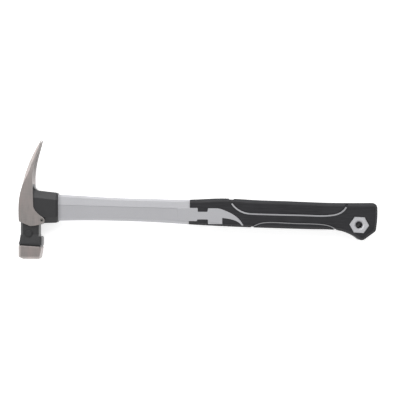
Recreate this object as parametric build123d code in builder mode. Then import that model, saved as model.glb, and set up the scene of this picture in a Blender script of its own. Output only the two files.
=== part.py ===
from build123d import *
import os

# Claw hammer: a forged rip-claw head bonded on a glass-fibre rod, with a silver
# plastic jacket and a black rubber grip moulded over it. It lies on its side:
# +X runs from the head to the butt, +Y from the face to the claws, +Z up.
# Millimetres. Outlines are drawn about the middle plane of the hammer.

# ---- driving dimensions -------------------------------------------------------
HEAD_HALF = 14.0            # cheek to middle plane
POMMEL_HALF = 14.0          # pommel side to middle plane, level with the cheek
GRIP_HALF = 13.2
SHAFT_HALF = 10.5
REST_HEIGHT = HEAD_HALF     # height of the middle plane when it lies down
ORIGIN_X = -0.13            # puts the row's origin under the middle of the box
ORIGIN_Y = -0.05

FACE_X = (-198.4, -172.9)   # striking head, back and handle side
FACE_Y = -66.1              # striking face
FACE_HALF = 13.0
FACE_BEVEL = 2.6            # bevel round the striking face
FACE_CORNER = 2.4
FACE_GROOVE_Y = -50.3       # upper edge of the groove behind the ground face
FACE_GROOVE_SLANT = 0.065
FACE_GROOVE_WIDTH = 2.2
FACE_GROOVE_DEPTH = 0.9
NECK_X = -186.0             # axis of the neck and the striking face
NECK_SIZE = 20.0            # neck width along X
NECK_HALF = 12.0            # neck side to middle plane
BOSS_CENTRE = (-187.0, -38.0)
BOSS_RADIUS = 3.9
BOSS_HALF = 12.9            # boss top to middle plane
COLLAR_END = -154.8         # mouth of the eye
COLLAR_START = -188.0
MOUTH_RADIUS = 3.2
COLLAR_TOP = 7.0            # top and bottom of the eye block at its mouth
COLLAR_BOTTOM = -26.2
COLLAR_HALF = 12.7
WEB_HALF = 7.6
EYE_HALF = 8.0
EYE_Y = (-22.2, 2.2)
EYE_CORNER = 5.5
CHEEK_BASE = 9.5            # the claws' outer corner is ground off from here to the cheek
CLAW_TIP = (-173.2, 66.2)
CLAW_TIP_HALF = 12.0
SLOT_ROOT_Y = 21.0          # bottom of the nail slot
SLOT_ROOT = 1.2             # half width of the slot there
SLOT_MOUTH = 5.2            # half width of the slot at the claw tips

CORE_SIZE = (17.0, 11.5)    # glass-fibre rod, deep and thick
CORE_CORNER = 4.2
CORE_X = (-196.2, 164.0)
CORE_Y = -9.2               # rod axis at COLLAR_END
CORE_SLOPE = -0.030         # rod axis falls this much per millimetre of X
NOSE_START = -159.8         # jacket nose inside the eye
DAM_START = -162.3          # rubber dam between the nose and the resin
RESIN_TOP = -195.6

PIN_CENTRE = (-172.2, -23.5)
PIN_RADIUS = 2.0
PIN_BORE = 0.9

GRIP_WALL = 2.8             # rubber over the jacket
RIB_WIDTH = 1.7             # silver line standing in the grip
LOWER_RIB_WIDTH = 1.1
RIB_SUNK = 0.45             # rib top below the rubber
GROOVE_DEPTH = 0.9
GROOVE_MARGIN = 0.75
SPINE_END = 172.0
EYELET_HALF = 10.2
EYELET_RADIUS = 12.3
PANEL_DEPTH = 0.3
BAND_SLOPE = -0.030         # the side's upper band falls with the panel's top edge
BAND_LENGTH = 152.0
HEX_CENTRE = (178.3, -28.6)
HEX_CORNER = 11.0           # middle to corner
HEX_FLAT = 8.8              # middle to flat
HEX_TILT = -3.7
LANYARD_RADIUS = 4.0
BUSH_SUNK = 0.3
HEX_GAP = 0.5               # dark gap round the bush
HEX_GAP_DEPTH = 1.2
BODY_BEVEL = 3.2
SOFT_EDGE = 2.0
CORNER_RADIUS = 6.0         # upper corner of the butt
TIP_RADIUS = 5.5            # lower tip of the pommel
HEEL_RADIUS = 5.0           # where the butt meets that tip
TAB_RADIUS = 0.9

MID = Plane((ORIGIN_X, ORIGIN_Y, REST_HEIGHT))
FAR = 60.0                  # longer than any cut needs


def at_x(x):
    """Plane across the handle at x: its own axes are Y and Z."""
    return Plane((x + ORIGIN_X, ORIGIN_Y, REST_HEIGHT), x_dir=(0, 1, 0), z_dir=(1, 0, 0))


def at_y(y):
    """Plane across the head at y: its own axes are X and Z."""
    return Plane((ORIGIN_X, y + ORIGIN_Y, REST_HEIGHT), x_dir=(1, 0, 0), z_dir=(0, -1, 0))


# ---- handle: the outer skin, and the same skin moved inwards --------------------
def handle_body(inset, start):
    """Shaft, grip and pommel as one closed shape, from start to the butt."""
    bevel = BODY_BEVEL - 0.586 * inset
    with BuildPart() as body:
        with BuildSketch(MID.offset(-FAR)) as profile:
            with BuildLine():
                top = Spline((start, 5.2 - inset), (-126, 3.5 - inset), (-86, 1.2 - inset),
                             (-42, 0.1 - inset), (-8, -0.5 - inset), (27, 0.8 - inset), (60, -0.8 - inset), (103, -2.4 - inset),
                             (143, -4.0 - inset), (175, -4.3 - inset), (198.6 - inset, -4.1 - inset))
                butt = ThreePointArc(top @ 1, (198.9 - inset, -17.0), (197.0 - inset, -35.6 + inset / 2))
                tip = Line(butt @ 1, (181.0, -47.2 + 1.3 * inset))
                belly = Spline(tip @ 1, (169.4, -39.0 + inset), (157, -35.0 + inset), (135, -33.6 + inset),
                               (103, -32.8 + inset), (70, -31.8 + inset), (30, -30.2 + inset),
                               (-8, -28.2 + inset), (-42, -26.0 + inset), (-86, -24.2 + inset), (-126, -23.6 + inset),
                               (start, -24.1 + inset))
                Line(belly @ 1, top @ 0)
            make_face()
            fillet(profile.vertices().sort_by(Axis.Y)[0], TIP_RADIUS)
            fillet(profile.vertices().sort_by(Axis.X)[-1], CORNER_RADIUS)
            fillet(profile.vertices().sort_by_distance((197.0 - inset, -35.6))[0], HEEL_RADIUS)
        extrude(amount=2 * FAR)
        with BuildSketch(at_y(FAR)):
            with BuildLine():
                side = Spline((-30, SHAFT_HALF - inset), (40, GRIP_HALF - inset), tangents=((1, 0), (1, 0)))
                pad = Line(side @ 1, (146, GRIP_HALF - inset))
                flare = Spline(pad @ 1, (172, POMMEL_HALF - inset), tangents=((1, 0), (1, 0)))
                end = Line(flare @ 1, (FAR * 4, POMMEL_HALF - inset))
                Polyline(end @ 1, (FAR * 4, 0), (start, 0), (start, SHAFT_HALF - inset), side @ 0)
            make_face()
            mirror(about=Plane.XZ)
        extrude(amount=2 * FAR, mode=Mode.INTERSECT)
        rims = body.edges().filter_by(lambda e: abs(e.center().Z - REST_HEIGHT) > SHAFT_HALF - inset - 0.3)
        chamfer(rims.filter_by(Axis.Y, reverse=True), bevel)
        bevel_edges = body.edges().filter_by(Axis.Y, reverse=True)
        bevel_edges = bevel_edges.filter_by(lambda e: abs(e.center().Z - REST_HEIGHT) > SHAFT_HALF / 2)
        fillet(bevel_edges.filter_by(lambda e: e.center().X > start + 1), SOFT_EDGE)
    return body.part


def ribbon(points, width):
    """Upright band of the given width along a smooth line, through the whole handle."""
    with BuildPart() as band:
        with BuildSketch(MID.offset(-FAR)):
            with BuildLine() as route:
                Spline(*points)
            trace(route.line, width)
        extrude(amount=2 * FAR)
    return band.part


outer = handle_body(0, COLLAR_END)
sunk = handle_body(RIB_SUNK, COLLAR_END)
groove_floor = handle_body(GROOVE_DEPTH, COLLAR_END)
inner = handle_body(GRIP_WALL, COLLAR_END)

UPPER_RIB = ((37.6, -5.0), (42.7, -10.6), (50.8, -15.0), (64.3, -16.7), (96.3, -17.6), (122.8, -18.3),
             (147.1, -18.2), (156.5, -15.9), (162.2, -11.6), (163.9, -9.0))
UPPER_GROOVE = ((36.6, 3.0),) + UPPER_RIB + ((164.0, -6.0),)
LOWER_RIB = ((62.4, -29.8), (68.4, -27.2), (82.0, -25.9), (108.4, -27.1), (134.0, -27.9), (144.2, -29.5),
             (152.0, -33.2))
LOWER_GROOVE = ((59.5, -32.0),) + LOWER_RIB + ((154.5, -35.4),)
GRIP_NOTCH = ((32.8, 3.0), (38.2, -2.2), (43.4, 3.0))

# ---- what the jacket is under the rubber: it ends in an eyelet round the lanyard bush ------
with BuildPart() as spine:
    add(inner)
    with BuildSketch(at_x(SPINE_END)):
        Rectangle(FAR * 2, FAR * 2)
    extrude(amount=FAR, mode=Mode.SUBTRACT)
    with BuildSketch(MID.offset(-EYELET_HALF)):
        with Locations(HEX_CENTRE):
            Circle(EYELET_RADIUS)
    extrude(amount=2 * EYELET_HALF)

# ---- silver window in the grip: a horn with a tab at its root --------------------
with BuildPart() as window:
    with BuildSketch(MID.offset(-FAR)):
        with BuildLine():
            root = Polyline((27.0, -20.8), (27.0, -27.6), (11.2, -27.6), (11.2, -22.5), (-0.8, -22.5),
                            (-0.8, -24.4), (-20, -24.4), (-20, -9.8), (-0.1, -9.8), (-0.1, -14.1),
                            (10.6, -14.1), (11.4, -10.2), (20.0, -10.2))
            back = Spline(root @ 1, (29.8, -12.6), (38.9, -17.0), (45.0, -21.7), (50.4, -29.0),
                          tangents=((1, 0), (0.6, -1)))
            horn_tip = Line(back @ 1, (48.6, -29.2))
            Spline(horn_tip @ 1, (43.9, -25.0), (38.5, -22.8), root @ 0)
        horn = make_face()
        fillet(horn.vertices().filter_by_position(Axis.X, -2, 12), TAB_RADIUS)
    extrude(amount=2 * FAR)

# ---- fibreglass rod ---------------------------------------------------------------
rod_start = Plane(MID.from_local_coords((CORE_X[0], CORE_Y + CORE_SLOPE * (CORE_X[0] - COLLAR_END), 0)),
                  x_dir=(0, 0, 1), z_dir=(1, CORE_SLOPE, 0))
with BuildPart() as handle_core:
    with BuildSketch(rod_start):
        RectangleRounded(CORE_SIZE[1], CORE_SIZE[0], CORE_CORNER)
    extrude(amount=CORE_X[1] - CORE_X[0])
    chamfer(handle_core.faces().sort_by(Axis.X)[0].edges(), 0.5)

# ---- the head --------------------------------------------------------------------
def cheek_outline(ground):
    """Side outline of cheek and claws: the full one, or the flat left after grinding."""
    draft = 0.2 if ground else 0.0
    with BuildSketch() as outline:
        with BuildLine():
            if ground:
                back = Spline((-197.8, -23.0), (-197.6, -1.5), (-196.0, 8.0), (-192.4, 18.4), (-186.6, 30.3),
                              (-181.8, 42.0), (-177.2, 53.2))
                hook = Spline(back @ 1, (-180.6, 40.4), (-182.4, 28.0), (-182.5, 14.7))
            else:
                back = Spline((-198.0, -23.0), (-197.9, -1.5), (-194.6, 15.0), (-189.9, 31.6), (-183.4, 47.6),
                              CLAW_TIP)
                hook = Spline(back @ 1, (-177.0, 54.2), (-181.2, 40.0), (-182.7, 28.0), (-182.3, 14.7))
            web = Line(hook @ 1, (-181.6 - draft, -7.0))
            shoulder = Spline(web @ 1, (-179.4 - draft, -12.8), (-175.0 - draft, -17.2 - draft),
                              (-170.4 - draft, -21.0), tangents=((0, -1), (1, -1)))
            lobe = ThreePointArc(shoulder @ 1, (-168.9 - draft, -23.8), (-171.2 - draft, -26.8 + draft))
            jaw = ThreePointArc(lobe @ 1, (-177.6, -29.0 + draft), (-185.4, -29.9 + draft))
            Polyline(jaw @ 1, (-197.4 + draft, -25.0 + draft), back @ 0)
        make_face()
    return outline.sketch


with BuildPart() as head:
    # neck and striking head
    with BuildSketch(MID.offset(-FACE_HALF)):
        with BuildLine():
            Polyline((-196.0, -39.5), (-197.0, -46.0), (FACE_X[0], -49.0), (FACE_X[0], FACE_Y + 2.4),
                     (FACE_X[0] + 5.0, FACE_Y), (-175.9, FACE_Y), (-175.2, FACE_Y + 0.9), (FACE_X[1], -53.0),
                     (FACE_X[1], -42.4), (FACE_X[1] - 1.2, -41.3), (-176.0, -41.3), (-176.0, -39.5),
                     close=True)
        make_face()
    extrude(amount=2 * FACE_HALF)
    with BuildSketch(at_x(FACE_X[0] - 1)):
        with BuildLine():
            Polyline((-39.0, 0), (-39.0, NECK_HALF), (-48.5, FACE_HALF), (FACE_Y + FACE_BEVEL, FACE_HALF),
                     (FACE_Y, FACE_HALF - FACE_BEVEL), (FACE_Y, 0), close=True)
        make_face()
        mirror(about=Plane.XZ)
    extrude(amount=FAR, mode=Mode.INTERSECT)
    with BuildSketch(at_y(-30)):
        with Locations((sum(FACE_X) / 2, 0)):
            block = Rectangle(FACE_X[1] - FACE_X[0], 2 * FACE_HALF)
        chamfer(block.vertices(), FACE_CORNER)
    extrude(amount=FAR, mode=Mode.INTERSECT)
    # slanting groove between the painted shoulder and the ground face
    groove_top = Plane(MID.from_local_coords((sum(FACE_X) / 2, FACE_GROOVE_Y, 0)),
                       x_dir=(1, -FACE_GROOVE_SLANT, 0), z_dir=(-FACE_GROOVE_SLANT, -1, 0))
    with BuildSketch(groove_top):
        Rectangle(FAR, FAR)
        Rectangle(FACE_X[1] - FACE_X[0] - 2 * FACE_GROOVE_DEPTH, 2 * (FACE_HALF - FACE_GROOVE_DEPTH),
                  mode=Mode.SUBTRACT)
    extrude(amount=FACE_GROOVE_WIDTH, mode=Mode.SUBTRACT)
    # neck, and a round boss on each side of it
    with BuildSketch(at_y(-20)):
        with Locations((NECK_X, 0)):
            neck = Rectangle(NECK_SIZE, 2 * NECK_HALF)
        chamfer(neck.vertices(), 2.4)
    extrude(amount=22)
    with BuildSketch(MID.offset(-BOSS_HALF)):
        with Locations(BOSS_CENTRE):
            Circle(BOSS_RADIUS)
    extrude(amount=2 * BOSS_HALF)
    boss_rims = head.edges().filter_by(GeomType.CIRCLE)
    fillet(boss_rims.filter_by(lambda e: abs(abs(e.center().Z - REST_HEIGHT) - BOSS_HALF) < 0.01), 0.45)

# cheeks and claws: a thick plate with its outer corners ground off, narrowed to the tips
with BuildPart() as cheek:
    with BuildSketch(MID.offset(-CHEEK_BASE)):
        add(cheek_outline(ground=False))
    extrude(amount=2 * CHEEK_BASE)
    for side in (1, -1):
        with BuildSketch(MID.offset(side * CHEEK_BASE)):
            add(cheek_outline(ground=False))
        with BuildSketch(MID.offset(side * HEAD_HALF)):
            add(cheek_outline(ground=True))
        loft(ruled=True)
    with BuildSketch(at_x(-205)):
        with BuildLine():
            flank = Polyline((-31, 0), (-31, HEAD_HALF), (18, HEAD_HALF))
            taper = Spline(flank @ 1, (45, 13.2), (CLAW_TIP[1] + 1, CLAW_TIP_HALF),
                           tangents=((1, 0), (1, -0.08)))
            Polyline(taper @ 1, (CLAW_TIP[1] + 1, 0), (-31, 0))
        make_face()
        mirror(about=Plane.XZ)
    extrude(amount=FAR, mode=Mode.INTERSECT)
    # nail slot between the claws, opened to the tips
    with BuildSketch(at_x(-205)):
        with BuildLine():
            Polyline((SLOT_ROOT_Y, 0), (SLOT_ROOT_Y, SLOT_ROOT), (CLAW_TIP[1] + 2, SLOT_MOUTH),
                     (CLAW_TIP[1] + 2, 0), close=True)
        make_face()
        mirror(about=Plane.XZ)
        with Locations((SLOT_ROOT_Y, 0)):
            Circle(SLOT_ROOT)
    extrude(amount=FAR, mode=Mode.SUBTRACT)


def collar_section(x):
    """Eight-sided section of the eye block at x."""
    reach = COLLAR_END - x
    top = COLLAR_TOP + 0.11 * reach
    bottom = COLLAR_BOTTOM - 0.03 * reach
    with BuildSketch() as section:
        with BuildLine():
            Polyline((top, 0), (top, COLLAR_HALF - 5.0), (top - 8.0, COLLAR_HALF),
                     (bottom + 6.5, COLLAR_HALF), (bottom, COLLAR_HALF - 4.5), (bottom, 0), close=True)
        make_face()
        mirror(about=Plane.XZ)
    return section.sketch


with BuildPart() as eye_block:
    for x in (COLLAR_START, COLLAR_END):
        with BuildSketch(at_x(x)):
            add(collar_section(x))
    loft(ruled=True)
    fillet(eye_block.faces().sort_by(Axis.X)[-1].edges(), MOUTH_RADIUS)
    # web that runs from the claws down to the eye block
    with BuildSketch(MID.offset(-WEB_HALF)):
        with BuildLine():
            foot = Polyline((-176.4, 9.3), (-176.4, 4.0), (-186.0, 4.0), (-186.0, 16.5), (-182.4, 16.5))
            TangentArc(foot @ 1, foot @ 0, tangent=(0, -1))
        make_face()
    extrude(amount=2 * WEB_HALF)

with BuildSketch() as eye_hole:
    with Locations((sum(EYE_Y) / 2, 0)):
        RectangleRounded(EYE_Y[1] - EYE_Y[0], 2 * EYE_HALF, EYE_CORNER)

with head:
    add(cheek.part)
    add(eye_block.part)
    with BuildSketch(at_x(-205)):
        add(eye_hole.sketch)
    extrude(amount=FAR, mode=Mode.SUBTRACT)
    with Locations(MID):
        with Locations((PIN_CENTRE[0], PIN_CENTRE[1], 0)):
            Cylinder(PIN_RADIUS, 2 * FAR, mode=Mode.SUBTRACT)

# ---- what holds the rod in the eye --------------------------------------------------
with BuildPart() as eye_resin:
    with BuildSketch(at_x(RESIN_TOP)):
        add(eye_hole.sketch)
    extrude(amount=DAM_START - RESIN_TOP)
    add(handle_core.part, mode=Mode.SUBTRACT)
    with Locations(MID):
        with Locations((PIN_CENTRE[0], PIN_CENTRE[1], 0)):
            Cylinder(PIN_RADIUS, 2 * FAR, mode=Mode.SUBTRACT)

with BuildPart() as resin_dam:
    with BuildSketch(at_x(DAM_START)):
        add(eye_hole.sketch)
    extrude(amount=NOSE_START - DAM_START)
    add(handle_core.part, mode=Mode.SUBTRACT)

with BuildPart() as cross_pin:
    with BuildSketch(MID.offset(-HEAD_HALF)):
        with Locations(PIN_CENTRE):
            Circle(PIN_RADIUS)
            Circle(PIN_BORE, mode=Mode.SUBTRACT)
    extrude(amount=2 * HEAD_HALF)
    chamfer(cross_pin.edges().filter_by(GeomType.CIRCLE), 0.25)

# ---- lanyard bush: a hexagon through the pommel -----------------------------------------
def hexagon(margin):
    """Outline of the lanyard bush, a slightly flattened hexagon, grown by margin."""
    corner = HEX_CORNER + 1.2 * margin
    flat = HEX_FLAT + margin
    with BuildSketch() as outline:
        with Locations(Location((*HEX_CENTRE, 0), (0, 0, HEX_TILT))):
            Polygon((corner, 0), (corner / 2, flat), (-corner / 2, flat), (-corner, 0), (-corner / 2, -flat),
                    (corner / 2, -flat))
    return outline.sketch


with BuildPart() as lanyard_bush:
    with BuildSketch(MID.offset(BUSH_SUNK - POMMEL_HALF)):
        add(hexagon(0))
        with Locations(HEX_CENTRE):
            Circle(LANYARD_RADIUS, mode=Mode.SUBTRACT)
    extrude(amount=2 * (POMMEL_HALF - BUSH_SUNK))
    bush_faces = lanyard_bush.faces().filter_by(Axis.Z)
    chamfer(bush_faces.edges().filter_by(GeomType.CIRCLE), 1.5)
    chamfer(bush_faces.edges().filter_by(GeomType.LINE), 0.4)

with BuildPart() as bush_seat:
    with BuildSketch(MID.offset(-FAR)):
        add(hexagon(0))
    extrude(amount=2 * FAR)

# ---- ribs, grooves and the line where the rubber starts ---------------------------------
upper_rib = ribbon(UPPER_RIB, RIB_WIDTH)
lower_rib = ribbon(LOWER_RIB, LOWER_RIB_WIDTH)
with BuildPart() as ribs:
    add(sunk)
    add(upper_rib, mode=Mode.INTERSECT)
with BuildPart() as low_ribs:
    add(sunk)
    add(lower_rib, mode=Mode.INTERSECT)

with BuildPart() as grooves:
    add(ribbon(UPPER_GROOVE, RIB_WIDTH + 2 * GROOVE_MARGIN))
    add(ribbon(LOWER_GROOVE, LOWER_RIB_WIDTH + 2 * GROOVE_MARGIN))
    with BuildSketch(MID.offset(-FAR)):
        Polygon(*GRIP_NOTCH, align=None)
    extrude(amount=2 * FAR)
    add(groove_floor, mode=Mode.SUBTRACT)

with BuildPart() as grip_zone:
    with BuildSketch(MID.offset(-FAR)):
        with BuildLine():
            Polyline((-8.8, 20), (-8.8, -17), (-10.1, -17), (-10.1, -60), (210, -60), (210, 20), close=True)
        make_face()
    extrude(amount=2 * FAR)

# ---- silver jacket ------------------------------------------------------------------------
with BuildPart() as handle_jacket:
    add(outer)
    add(grip_zone.part, mode=Mode.SUBTRACT)
    # both sides of the shaft lean in above the panel
    with BuildSketch(Plane(at_x(COLLAR_END - 1).origin, x_dir=(-BAND_SLOPE, 1, 0), z_dir=(1, BAND_SLOPE, 0))):
        with BuildLine():
            Polyline((-6.6, SHAFT_HALF), (8, SHAFT_HALF - 1.4), (8, SHAFT_HALF + 4), (-6.6, SHAFT_HALF + 4),
                     close=True)
        make_face()
        mirror(about=Plane.XZ)
    extrude(amount=BAND_LENGTH, mode=Mode.SUBTRACT)
    # flat panel sunk into both sides of the shaft
    for side in (1, -1):
        with BuildSketch(MID.offset(side * (SHAFT_HALF - PANEL_DEPTH))):
            with BuildLine():
                Polyline((COLLAR_END, -6.4), (-22.6, -10.3), (-22.0, -25.3), (-86, -22.3), (COLLAR_END, -21.2),
                         close=True)
            make_face()
        extrude(amount=side * 4, mode=Mode.SUBTRACT)
    add(spine.part)
    add(outer.intersect(window.part))
    add(ribs.part)
    add(low_ribs.part)
    # nose that plugs the mouth of the eye
    with BuildSketch(at_x(NOSE_START)):
        add(eye_hole.sketch)
    extrude(amount=COLLAR_END - NOSE_START)
    add(handle_core.part, mode=Mode.SUBTRACT)
    add(bush_seat.part, mode=Mode.SUBTRACT)

# ---- rubber grip --------------------------------------------------------------------------
with BuildPart() as grip:
    add(outer)
    add(grip_zone.part, mode=Mode.INTERSECT)
    add(spine.part, mode=Mode.SUBTRACT)
    add(window.part, mode=Mode.SUBTRACT)
    add(upper_rib, mode=Mode.SUBTRACT)
    add(lower_rib, mode=Mode.SUBTRACT)
    add(grooves.part, mode=Mode.SUBTRACT)
    add(bush_seat.part, mode=Mode.SUBTRACT)
    for side in (1, -1):
        with BuildSketch(MID.offset(side * (POMMEL_HALF - HEX_GAP_DEPTH))):
            add(hexagon(HEX_GAP))
        extrude(amount=side * 4, mode=Mode.SUBTRACT)

os.makedirs("parts", exist_ok=True)
pieces = {
    "head": head, "cross_pin": cross_pin, "eye_resin": eye_resin, "resin_dam": resin_dam,
    "handle_core": handle_core, "handle_jacket": handle_jacket, "grip": grip, "lanyard_bush": lanyard_bush,
}
for name, piece in pieces.items():
    piece.part.label = name
    export_step(piece.part, f"parts/{name}.step")
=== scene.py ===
import math

import bpy
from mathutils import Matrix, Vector

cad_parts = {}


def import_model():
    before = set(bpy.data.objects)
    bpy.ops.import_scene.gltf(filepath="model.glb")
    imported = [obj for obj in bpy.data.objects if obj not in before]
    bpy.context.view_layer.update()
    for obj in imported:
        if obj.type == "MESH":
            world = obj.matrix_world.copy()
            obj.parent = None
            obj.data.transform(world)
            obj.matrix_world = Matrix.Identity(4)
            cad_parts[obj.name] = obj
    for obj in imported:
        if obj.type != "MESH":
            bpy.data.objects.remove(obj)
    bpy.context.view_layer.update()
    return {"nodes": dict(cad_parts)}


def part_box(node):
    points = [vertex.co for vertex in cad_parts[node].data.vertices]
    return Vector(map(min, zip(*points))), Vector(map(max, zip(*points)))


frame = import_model()

MM = 0.001


# ---- places on the hammer ------------------------------------------------------------
HEAD_LOW, HEAD_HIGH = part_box("head")
MID_Z = (HEAD_LOW[2] + HEAD_HIGH[2]) / 2      # the hammer's middle plane
CHEEK_HALF = HEAD_HIGH[2] - MID_Z
BACK_X = HEAD_LOW[0]
MOUTH_X = HEAD_HIGH[0]                        # where the handle enters the eye
FACE_Y = HEAD_LOW[1]

# Bare steel: the cheeks, the claws, a strip up the back, and the face block under a slanting line.
CHEEK_Y = FACE_Y + 35.5 * MM
CHEEK_DEPTH = 1.0 * MM                        # how far the grinding reaches down from the cheek
CLAWS_Y = FACE_Y + 82.5 * MM
BACK_Y = FACE_Y + 41.5 * MM
BACK_WIDTH = 12.0 * MM
BLOCK_Y = FACE_Y + 15.0 * MM
BLOCK_SLANT = -0.07                           # slope of the block's upper line along X
GROOVE_LOW_Y = FACE_Y + 13.0 * MM
GROOVE_HIGH_Y = FACE_Y + 16.6 * MM
HOOK_Y = FACE_Y + 95 * MM                     # the hollow of the claws starts about here

# A face counts as the back or as the hollow side by the X part of its normal.
BACK_FACING = -0.35
HOOK_FACING = 0.3

BOSS_PLACE = (BACK_X + 11.7 * MM, FACE_Y + 28.1 * MM)
BOSS_RADIUS = 3.9 * MM

LINES_X = 54 * MM                             # the window ends and the thin silver lines start
LOWER_LINE_Y = -22 * MM                       # the lower line is all below this


# ---- node helpers ----------------------------------------------------------------------
EDGE_BENT, EDGE_FLAT = 0.86, 0.995            # agreement of the two normals on and off an edge
BEVEL_SAMPLES = 6
COLOR_A, COLOR_B, COLOR_RESULT = 6, 7, 2      # the Mix node's sockets for colours
VECTOR_A, VECTOR_B, VECTOR_RESULT = 4, 5, 1   # and for vectors


class Net:
    """One material's node tree, with short ways to add and join nodes. A mask runs from 0 to 1."""

    def __init__(self, name):
        self.material = bpy.data.materials.new(name)
        self.material.use_nodes = True
        self.tree = self.material.node_tree
        self.shader = self.tree.nodes["Principled BSDF"]
        self.place = self.add("ShaderNodeTexCoord").outputs["Object"]
        self.x, self.y, self.z = self.split(self.place)

    def add(self, kind, inputs=None, **settings):
        node = self.tree.nodes.new(kind)
        for name, value in settings.items():
            setattr(node, name, value)
        for key, value in (inputs or {}).items():
            self.join(value, node.inputs[key])
        return node

    def join(self, value, socket):
        """Links a node's output to the socket, or sets the socket to a constant."""
        if isinstance(value, bpy.types.NodeSocket):
            self.tree.links.new(value, socket)
        else:
            socket.default_value = value

    def set(self, **sockets):
        """Joins values to the shader's own sockets; an underscore stands for a space."""
        for name, value in sockets.items():
            self.join(value, self.shader.inputs[name.replace("_", " ")])

    def split(self, vector):
        node = self.add("ShaderNodeSeparateXYZ", {"Vector": vector})
        return node.outputs["X"], node.outputs["Y"], node.outputs["Z"]

    def normal(self):
        """The surface's own normal, before bump and rounding."""
        return self.add("ShaderNodeNewGeometry").outputs["Normal"]

    def math(self, operation, a, b=0.0):
        return self.add("ShaderNodeMath", {0: a, 1: b}, operation=operation).outputs["Value"]

    def vector_math(self, operation, a, b):
        node = self.add("ShaderNodeVectorMath", {0: a, 1: b}, operation=operation)
        return node.outputs["Value"]

    def between(self, value, low, high, from_low=0.0, from_high=1.0):
        """Maps value so that from_low gives low and from_high gives high, held at both ends."""
        inputs = {"Value": value, "From Min": from_low, "From Max": from_high,
                  "To Min": low, "To Max": high}
        return self.add("ShaderNodeMapRange", inputs).outputs["Result"]

    def above(self, value, level, blur=0.1 * MM):
        """1 where value is over level, 0 under it, with a soft step."""
        return self.between(value, 0.0, 1.0, level - blur, level + blur)

    def below(self, value, level, blur=0.1 * MM):
        return self.math("SUBTRACT", 1.0, self.above(value, level, blur))

    def all_of(self, *masks):
        result = masks[0]
        for mask in masks[1:]:
            result = self.math("MULTIPLY", result, mask)
        return result

    def any_of(self, *masks):
        result = masks[0]
        for mask in masks[1:]:
            result = self.math("MAXIMUM", result, mask)
        return result

    def noise(self, size, detail=3.0, stretch=(1.0, 1.0, 1.0), roughness=0.55):
        """Noise with features about size metres across; stretch lengthens them along an axis."""
        scale = tuple(1.0 / s for s in stretch)
        scaled = self.add("ShaderNodeMapping", {"Vector": self.place, "Scale": scale})
        inputs = {"Vector": scaled.outputs["Vector"], "Scale": 1.0 / size,
                  "Detail": detail, "Roughness": roughness}
        return self.add("ShaderNodeTexNoise", inputs).outputs["Fac"]

    def mix_color(self, factor, a, b):
        """Colour a where factor is 0, b where it is 1."""
        inputs = {"Factor": factor, COLOR_A: a, COLOR_B: b}
        return self.add("ShaderNodeMix", inputs, data_type="RGBA").outputs[COLOR_RESULT]

    def mix_vector(self, factor, a, b):
        inputs = {"Factor": factor, VECTOR_A: a, VECTOR_B: b}
        return self.add("ShaderNodeMix", inputs, data_type="VECTOR").outputs[VECTOR_RESULT]

    def mix_value(self, factor, a, b):
        rest = self.math("SUBTRACT", 1.0, factor)
        return self.math("ADD", self.math("MULTIPLY", factor, b), self.math("MULTIPLY", rest, a))

    def tint(self, color, mask, amount, into):
        """The colour, with that amount of into mixed in where mask is 1."""
        return self.mix_color(self.math("MULTIPLY", mask, amount), color, into)

    def bump(self, height, depth, strength=1.0, normal=None):
        inputs = {"Height": height, "Distance": depth, "Strength": strength}
        if normal is not None:
            inputs["Normal"] = normal
        return self.add("ShaderNodeBump", inputs).outputs["Normal"]

    def soft_edge(self, radius):
        """Normal rounded over the sharp edges, and how close each spot is to such an edge."""
        bevel = self.add("ShaderNodeBevel", {"Radius": radius}, samples=BEVEL_SAMPLES)
        rounded = bevel.outputs["Normal"]
        agree = self.vector_math("DOT_PRODUCT", rounded, self.normal())
        return rounded, self.between(agree, 1.0, 0.0, EDGE_BENT, EDGE_FLAT)


def rgb(r, g, b):
    return (r, g, b, 1.0)


# ---- materials ---------------------------------------------------------------------------
STEEL_DARK = rgb(0.295, 0.276, 0.267)
STEEL_LIGHT = rgb(0.450, 0.415, 0.402)
STEEL_WARM = rgb(0.47, 0.395, 0.38)
STEEL_EDGE = rgb(0.50, 0.49, 0.48)
STEEL_HOOK_SHADE = rgb(0.07, 0.068, 0.066)          # painted shade: dark steel in the hollow of the claws
PAINT_DARK = rgb(0.028, 0.028, 0.030)
PAINT_LIGHT = rgb(0.040, 0.040, 0.042)
PAINT_RUBBED = rgb(0.14, 0.135, 0.13)
GROOVE_SHADE = rgb(0.008, 0.008, 0.008)
BOSS_SHADE = rgb(0.006, 0.006, 0.006)
SILVER_DARK = (0.475, 0.475, 0.497)
SILVER_LIGHT = (0.565, 0.565, 0.588)
SILVER_EDGE = rgb(0.6, 0.6, 0.61)
MOUTH_SHADE = rgb(0.17, 0.17, 0.18)
# painted shade for the silver lines sunk between the rubber pads
LINES_SHADE = rgb(0.08, 0.08, 0.085)
RUBBER_DARK = rgb(0.013, 0.013, 0.0155)
RUBBER_LIGHT = rgb(0.020, 0.020, 0.0235)
RUBBER_STREAK = rgb(0.034, 0.033, 0.038)
RUBBER_EDGE = rgb(0.05, 0.05, 0.054)
FIBRE_DARK = rgb(0.30, 0.26, 0.14)
FIBRE_LIGHT = rgb(0.52, 0.47, 0.30)
RESIN_DARK = rgb(0.030, 0.028, 0.024)
RESIN_LIGHT = rgb(0.055, 0.050, 0.042)
DAM_DARK = rgb(0.018, 0.018, 0.018)
DAM_LIGHT = rgb(0.032, 0.032, 0.032)
PIN_DARK = rgb(0.20, 0.19, 0.18)
PIN_LIGHT = rgb(0.30, 0.29, 0.28)

RUBBER_LINE_PITCH = 1.6 * MM


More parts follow.
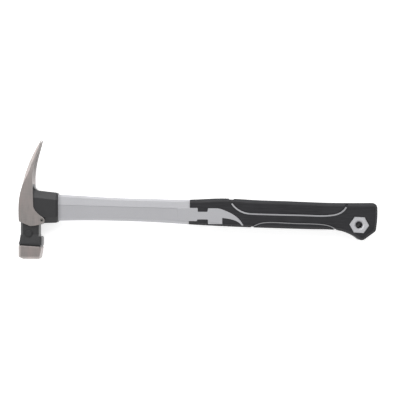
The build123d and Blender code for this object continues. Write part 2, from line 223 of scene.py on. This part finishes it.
def bare_mask(net, facing_x, edge_y, slanted_y):
    """Where the head is ground to bare steel."""
    height = net.math("ABSOLUTE", net.math("SUBTRACT", net.z, MID_Z))
    cheek = net.all_of(net.above(height, CHEEK_HALF - CHEEK_DEPTH), net.above(net.y, CHEEK_Y))
    claws = net.above(edge_y, CLAWS_Y)
    back = net.all_of(net.below(facing_x, BACK_FACING, blur=0.1), net.above(edge_y, BACK_Y),
                      net.below(net.x, BACK_X + BACK_WIDTH, blur=1.0 * MM))
    block = net.below(slanted_y, BLOCK_Y)
    return net.any_of(cheek, claws, back, block)


def steel_color(net, facing_x, grain, edge):
    """Ground steel, warm scuffs, pale edges; dark streaky painted shade in the hollow of the claws.
    """
    steel = net.mix_color(net.between(grain, 0.0, 1.0, 0.3, 0.7), STEEL_DARK, STEEL_LIGHT)
    scuff = net.noise(8 * MM, detail=3.0, stretch=(1.0, 3.0, 1.0))
    steel = net.mix_color(net.between(scuff, 0.0, 0.5, 0.4, 0.7), steel, STEEL_WARM)
    steel = net.tint(steel, edge, 0.25, STEEL_EDGE)
    # painted shade: faces turned to the handle, up in the claws, get dark streaky steel
    hook_shade = net.all_of(net.above(facing_x, HOOK_FACING, blur=0.15),
                      net.above(net.y, HOOK_Y, blur=12 * MM))
    streak = net.noise(0.9 * MM, detail=4.0, stretch=(1.0, 9.0, 1.0))
    return net.tint(steel, hook_shade, net.between(streak, 0.35, 0.95, 0.35, 0.6), STEEL_HOOK_SHADE)


def paint_color(net, edge, slanted_y):
    """Dark enamel, rubbed on its edges, with painted shade as dark lines in the groove and round
    the boss.
    """
    paint = net.mix_color(net.noise(14 * MM, detail=2.0), PAINT_DARK, PAINT_LIGHT)
    wear = net.noise(0.9 * MM, detail=4.0)
    rub = net.all_of(edge, net.between(wear, 0.0, 1.0, 0.45, 0.6))
    paint = net.tint(paint, rub, 0.35, PAINT_RUBBED)
    # painted shade: dark line in the groove above the face block
    groove = net.all_of(net.above(slanted_y, GROOVE_LOW_Y, blur=0.4 * MM),
                        net.below(slanted_y, GROOVE_HIGH_Y, blur=0.8 * MM))
    paint = net.tint(paint, groove, 0.75, GROOVE_SHADE)
    # painted shade: dark ring round the rim of the boss
    plan = net.add("ShaderNodeCombineXYZ", {"X": net.x, "Y": net.y}).outputs["Vector"]
    from_boss = net.vector_math("DISTANCE", plan, (*BOSS_PLACE, 0.0))
    off_rim = net.math("ABSOLUTE", net.math("SUBTRACT", from_boss, BOSS_RADIUS + 0.1 * MM))
    return net.tint(paint, net.below(off_rim, 0.6 * MM, blur=0.5 * MM), 0.6, BOSS_SHADE)


def head_material():
    """Ground steel on cheeks, claws, back and face block; dark grey enamel everywhere else."""
    net = Net("head_steel")
    facing_x = net.split(net.normal())[0]
    wander = net.math("MULTIPLY", net.math("SUBTRACT", net.noise(3 * MM), 0.5), 0.5 * MM)
    edge_y = net.math("ADD", net.y, wander)       # Y with an uneven edge to the paint
    slant = net.math("MULTIPLY", net.math("SUBTRACT", net.x, BACK_X), BLOCK_SLANT)
    slanted_y = net.math("SUBTRACT", edge_y, slant)

    rounded, edge = net.soft_edge(0.5 * MM)
    along = net.noise(0.5 * MM, detail=5.0, stretch=(1.0, 30.0, 1.0), roughness=0.6)
    across = net.noise(0.7 * MM, detail=3.0, stretch=(14.0, 1.0, 1.0))
    grain = net.math("ADD", net.math("MULTIPLY", along, 0.7), net.math("MULTIPLY", across, 0.3))
    peel = net.noise(1.3 * MM, detail=2.0)

    bare = bare_mask(net, facing_x, edge_y, slanted_y)
    steel = steel_color(net, facing_x, grain, edge)
    paint = paint_color(net, edge, slanted_y)
    rough = net.mix_value(bare, net.between(peel, 0.34, 0.43), net.between(grain, 0.36, 0.50))
    ground = net.bump(grain, 0.04 * MM, 0.5, rounded)
    painted = net.bump(peel, 0.07 * MM, 0.6, rounded)
    net.set(Base_Color=net.mix_color(bare, paint, steel), Metallic=net.math("MULTIPLY", bare, 0.9),
            Roughness=rough, Normal=net.mix_vector(bare, painted, ground))
    return net.material


def silver_material(name, light=1.0, grain=0.25 * MM, mouth_x=None):
    """Satin silver plastic with fine metal flake; painted shade at the eye's mouth and in the
    lines.
    """
    net = Net(name)
    rounded, edge = net.soft_edge(0.3 * MM)
    flake = net.noise(grain, detail=1.0)
    cloud = net.noise(25 * MM, detail=2.0)
    low = rgb(*(c * light for c in SILVER_DARK))
    high = rgb(*(c * light for c in SILVER_LIGHT))
    tone = net.mix_color(net.between(flake, 0.0, 1.0, 0.3, 0.7), low, high)
    tone = net.mix_color(net.between(cloud, 0.0, 0.3, 0.45, 0.75), tone, low)
    tone = net.tint(tone, edge, 0.12, SILVER_EDGE)
    if mouth_x is not None:
        # painted shade on the jacket where it goes into the eye's mouth
        near = net.below(net.x, mouth_x + 2.2 * MM, blur=2.0 * MM)
        tone = net.tint(tone, near, 0.45, MOUTH_SHADE)
        # painted shade: the silver lines in the grip's grooves darken, the lower line more
        lines = net.above(net.x, LINES_X, blur=3 * MM)
        lower = net.all_of(lines, net.below(net.y, LOWER_LINE_Y, blur=1 * MM))
        all_over, more = net.math("MULTIPLY", lines, 0.22), net.math("MULTIPLY", lower, 0.28)
        lines_shade = net.math("ADD", all_over, more)
        tone = net.mix_color(lines_shade, tone, LINES_SHADE)
    net.set(Base_Color=tone, Metallic=0.3, Roughness=net.between(flake, 0.36, 0.48),
            Normal=net.bump(flake, 0.02 * MM, 0.5, rounded))
    return net.material


def rubber_material():
    """Black moulded rubber: matt grain, faint flow streaks and fine lines along the handle."""
    net = Net("grip_rubber")
    rounded, edge = net.soft_edge(0.4 * MM)
    grain = net.noise(0.5 * MM, detail=3.0)
    dust = net.noise(18 * MM, detail=3.0)
    flow = net.noise(0.9 * MM, detail=3.0, stretch=(22.0, 1.0, 1.0))
    tone = net.mix_color(net.between(dust, 0.0, 1.0, 0.35, 0.7), RUBBER_DARK, RUBBER_LIGHT)
    tone = net.mix_color(net.between(flow, 0.0, 0.6, 0.42, 0.68), tone, RUBBER_STREAK)
    tone = net.tint(tone, edge, 0.4, RUBBER_EDGE)
    wobble = net.math("MULTIPLY", net.noise(30 * MM), 1.5 * MM)
    phase = net.math("MULTIPLY", net.math("ADD", net.y, wobble), 2 * math.pi / RUBBER_LINE_PITCH)
    lines = net.between(net.math("SINE", phase), 0.0, 1.0, -1.0, 1.0)
    normal = net.bump(lines, 0.05 * MM, 0.6, net.bump(grain, 0.04 * MM, 0.6, rounded))
    net.set(Base_Color=tone, Roughness=net.between(grain, 0.5, 0.66), Normal=normal,
            Specular_IOR_Level=0.4)
    return net.material


def fibre_material():
    """Cut glass-fibre rod: pale yellow, with fibres along its length."""
    net = Net("glass_fibre")
    fibre = net.noise(0.4 * MM, detail=4.0, stretch=(60.0, 1.0, 1.0))
    net.set(Base_Color=net.mix_color(fibre, FIBRE_DARK, FIBRE_LIGHT),
            Roughness=net.between(fibre, 0.4, 0.6), Normal=net.bump(fibre, 0.05 * MM, 0.7))
    return net.material


def resin_material():
    """Dark cast epoxy, slightly glossy, with a faint flow pattern."""
    net = Net("resin")
    flow = net.noise(4 * MM, detail=3.0)
    net.set(Base_Color=net.mix_color(flow, RESIN_DARK, RESIN_LIGHT),
            Roughness=net.between(flow, 0.12, 0.3), Normal=net.bump(flow, 0.15 * MM, 0.5))
    return net.material


def dam_material():
    """Plain soft black rubber."""
    net = Net("dam_rubber")
    grain = net.noise(0.8 * MM, detail=3.0)
    net.set(Base_Color=net.mix_color(grain, DAM_DARK, DAM_LIGHT),
            Roughness=net.between(grain, 0.6, 0.8), Normal=net.bump(grain, 0.05 * MM, 0.5))
    return net.material


def pin_material():
    """Turned spring steel."""
    net = Net("pin_steel")
    turn = net.noise(0.3 * MM, detail=2.0)
    net.set(Base_Color=net.mix_color(turn, PIN_DARK, PIN_LIGHT), Metallic=0.8,
            Roughness=net.between(turn, 0.42, 0.55), Normal=net.bump(turn, 0.01 * MM, 0.5))
    return net.material


def dress(node, material):
    """Gives a CAD node its material."""
    mesh = frame["nodes"][node].data
    mesh.materials.clear()
    mesh.materials.append(material)


dress("head", head_material())
dress("cross_pin", pin_material())
dress("eye_resin", resin_material())
dress("resin_dam", dam_material())
dress("handle_core", fibre_material())
dress("handle_jacket", silver_material("silver_jacket", mouth_x=MOUTH_X))
dress("grip", rubber_material())
dress("lanyard_bush", silver_material("bush_plastic", light=1.15, grain=0.7 * MM))


# ---- stage, light and camera ---------------------------------------------------------------
FLOOR_SIZE = 6.0
FLOOR_DARK = rgb(0.90, 0.90, 0.90)
FLOOR_LIGHT = rgb(0.93, 0.93, 0.93)
FLOOR_GLOW = 0.65
HOLE_SHADE_RADIUS = 7 * MM             # painted shade: radius under the lanyard hole where the floor doesn't glow

WHITE = rgb(1, 1, 1)
ZENITH_LIGHT = 0.42
HORIZON_LIGHT = 1.0
HANDLE_SIDE = 0.5             # part of the light that is left on the handle's side
CLIMB = (0.25, 0.95)          # the light falls off between these heights of the sky's sphere
TURN = (0.15, 0.9)            # and between these X places of it

# name, place, target, size in metres, watts
LIGHTS = (
    ("top_soft", (-0.1, 1.3, 0.9), (0, 0, 0), (1.6, 0.8), 6.5),
    ("left_soft", (-1.3, 0.55, 0.28), (-0.18, 0.03, 0.01), (0.9, 0.45), 3.6),
    ("over_soft", (0.0, 0.8, 1.65), (0, 0, 0), (1.4, 0.5), 8.0),
)

CAMERA_PLACE = (2.3 * MM, -1.05 * MM, MID_Z + 1.427)
CAMERA_LENS = 115.2           # millimetres
CAMERA_SENSOR = 36.0          # millimetres


def floor():
    """Pale floor with a faint glow, to keep it bright round the hammer."""
    bpy.ops.mesh.primitive_plane_add(size=FLOOR_SIZE, location=(0, 0, 0))
    plane = bpy.context.object
    plane.name = "floor"
    net = Net("floor")
    speck = net.noise(40 * MM)
    low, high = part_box("lanyard_bush")
    hole = ((low[0] + high[0]) / 2, (low[1] + high[1]) / 2, 0.0)
    reach = net.vector_math("DISTANCE", net.place, hole)
    # painted shade: the floor's glow is left out under the lanyard hole, so the hole looks dark
    glow = net.math("MULTIPLY", net.above(reach, HOLE_SHADE_RADIUS, blur=2 * MM), FLOOR_GLOW)
    net.set(Base_Color=net.mix_color(speck, FLOOR_DARK, FLOOR_LIGHT), Roughness=0.9,
            Emission_Color=WHITE, Emission_Strength=glow)
    plane.data.materials.append(net.material)


def world():
    """Soft studio: walls bright near the floor, ceiling dimmer, handle's side a little dimmer."""
    sky = bpy.data.worlds.new("studio")
    sky.use_nodes = True
    nodes, links = sky.node_tree.nodes, sky.node_tree.links

    def ramp(source, reach, at_low, at_high):
        node = nodes.new("ShaderNodeMapRange")
        sockets = ("From Min", "From Max", "To Min", "To Max")
        for key, value in zip(sockets, (*reach, at_low, at_high)):
            node.inputs[key].default_value = value
        links.new(source, node.inputs["Value"])
        return node.outputs["Result"]

    split = nodes.new("ShaderNodeSeparateXYZ")
    links.new(nodes.new("ShaderNodeTexCoord").outputs["Generated"], split.inputs["Vector"])
    product = nodes.new("ShaderNodeMath")
    product.operation = "MULTIPLY"
    links.new(ramp(split.outputs["Z"], CLIMB, HORIZON_LIGHT, ZENITH_LIGHT), product.inputs[0])
    links.new(ramp(split.outputs["X"], TURN, 1.0, HANDLE_SIDE), product.inputs[1])
    back = nodes["Background"]
    back.inputs["Color"].default_value = WHITE
    links.new(product.outputs["Value"], back.inputs["Strength"])
    bpy.context.scene.world = sky


def area_light(name, place, target, size, watts):
    """Rectangular lamp that faces its target."""
    data = bpy.data.lights.new(name, "AREA")
    data.shape = "RECTANGLE"
    data.size, data.size_y = size
    data.energy = watts
    lamp = bpy.data.objects.new(name, data)
    lamp.location = place
    lamp.rotation_euler = (Vector(target) - Vector(place)).to_track_quat("-Z", "Y").to_euler()
    bpy.context.collection.objects.link(lamp)


def camera():
    """Camera straight above the hammer, as in the photo."""
    data = bpy.data.cameras.new("camera")
    data.lens = CAMERA_LENS
    data.sensor_width = CAMERA_SENSOR
    lens = bpy.data.objects.new("camera", data)
    lens.location = CAMERA_PLACE
    bpy.context.collection.objects.link(lens)
    bpy.context.scene.camera = lens


floor()
world()
for light in LIGHTS:
    area_light(*light)
camera()
bpy.context.scene.view_settings.view_transform = "Standard"
